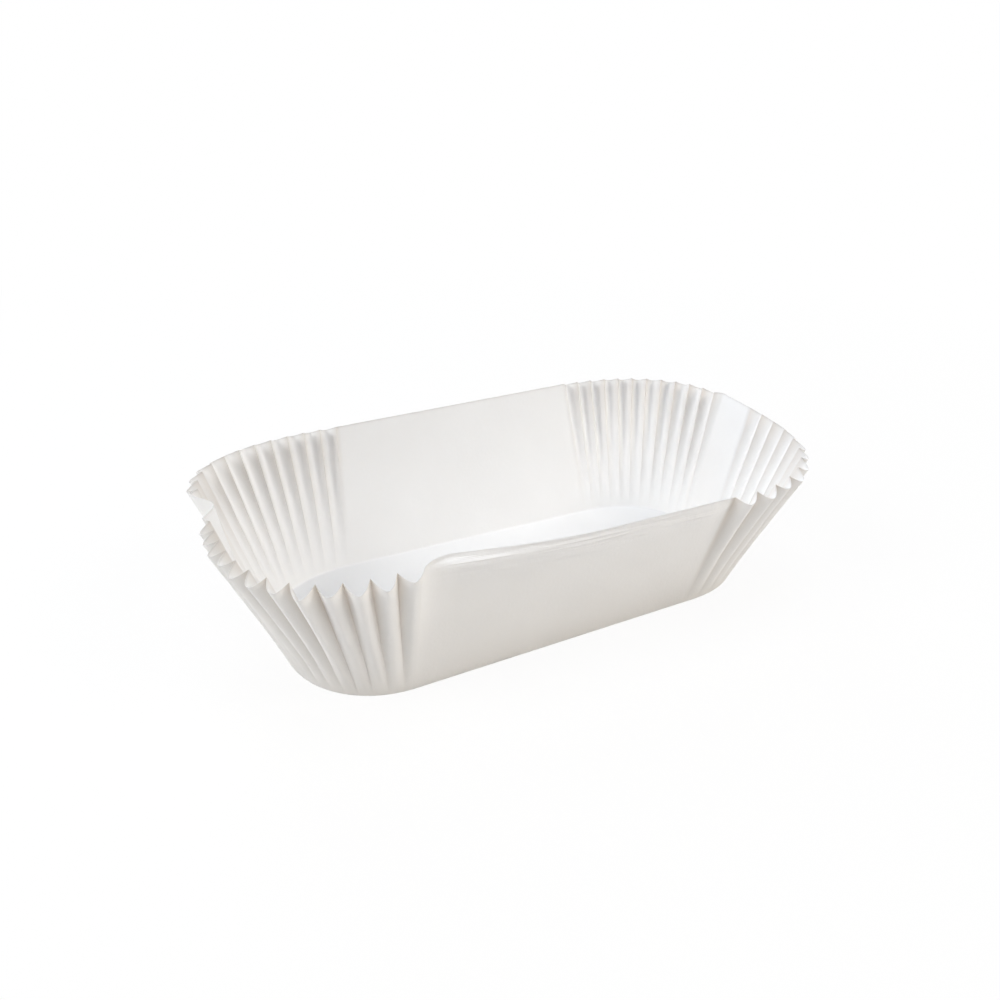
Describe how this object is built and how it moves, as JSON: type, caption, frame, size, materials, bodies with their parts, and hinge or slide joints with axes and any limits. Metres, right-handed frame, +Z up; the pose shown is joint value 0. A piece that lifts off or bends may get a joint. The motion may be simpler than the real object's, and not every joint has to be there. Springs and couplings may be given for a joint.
{
  "type": "loaf pan liner",
  "caption": "Open paper liner in the shape of a loaf tin, with a flat floor, plain sloping panels and fluted corners.",
  "frame": {"origin": "middle of the liner's box, on the surface that it stands on", "axes": "+X along the liner's length, +Y across it towards the back panel, +Z up"},
  "size_m": [0.2456, 0.1312, 0.0611],
  "materials": {
    "paper": "matt white greaseproof paper"
  },
  "bodies": {
    "root": {"liner": "paper"}
  },
  "joints": []
}
